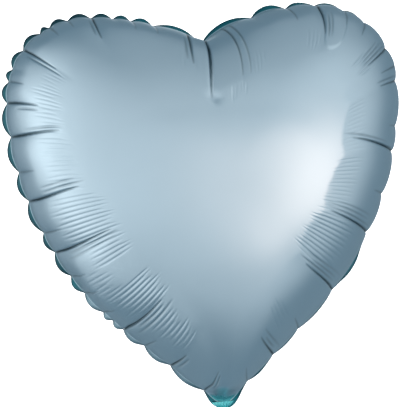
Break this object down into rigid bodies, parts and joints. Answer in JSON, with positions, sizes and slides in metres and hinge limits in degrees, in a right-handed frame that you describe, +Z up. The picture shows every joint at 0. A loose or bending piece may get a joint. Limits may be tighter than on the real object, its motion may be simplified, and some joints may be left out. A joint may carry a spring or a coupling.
{
  "type": "heart-shaped foil balloon",
  "caption": "Inflated heart-shaped foil balloon: two domed film panels heat-sealed round a flat border, with a self-sealing sleeve valve and a flat inflation tail that folds at the neck.",
  "frame": {"origin": "the gathered waist of the neck, just under the heart's tip, on the seam plane, where the tail folds and a ribbon is tied", "axes": "+Z up from the tail through the heart's notch, -Y out of the front panel, +X to the right seen from the front; the seam lies in the XZ plane"},
  "size_m": [0.378, 0.1698, 0.449],
  "materials": {
    "satin_film": "satin metallised film, pale blue",
    "teal_film": "glossy metallised film, dark teal",
    "clear_film": "clear glossy film"
  },
  "bodies": {
    "envelope": {"front_foil": "satin_film", "back_foil": "satin_film", "heat_seal": "teal_film", "valve_front_film": "clear_film", "valve_back_film": "clear_film"},
    "tail": {"tail_front_foil": "teal_film", "tail_back_foil": "teal_film", "tail_side_seals": "teal_film", "inlet_front_film": "clear_film", "inlet_back_film": "clear_film"}
  },
  "joints": [
    {"name": "tail_fold", "type": "hinge", "parent": "envelope", "child": "tail", "pos_m": [0, 0, 0], "axis": [1, 0, 0], "range_deg": [-128, 128]}
  ]
}
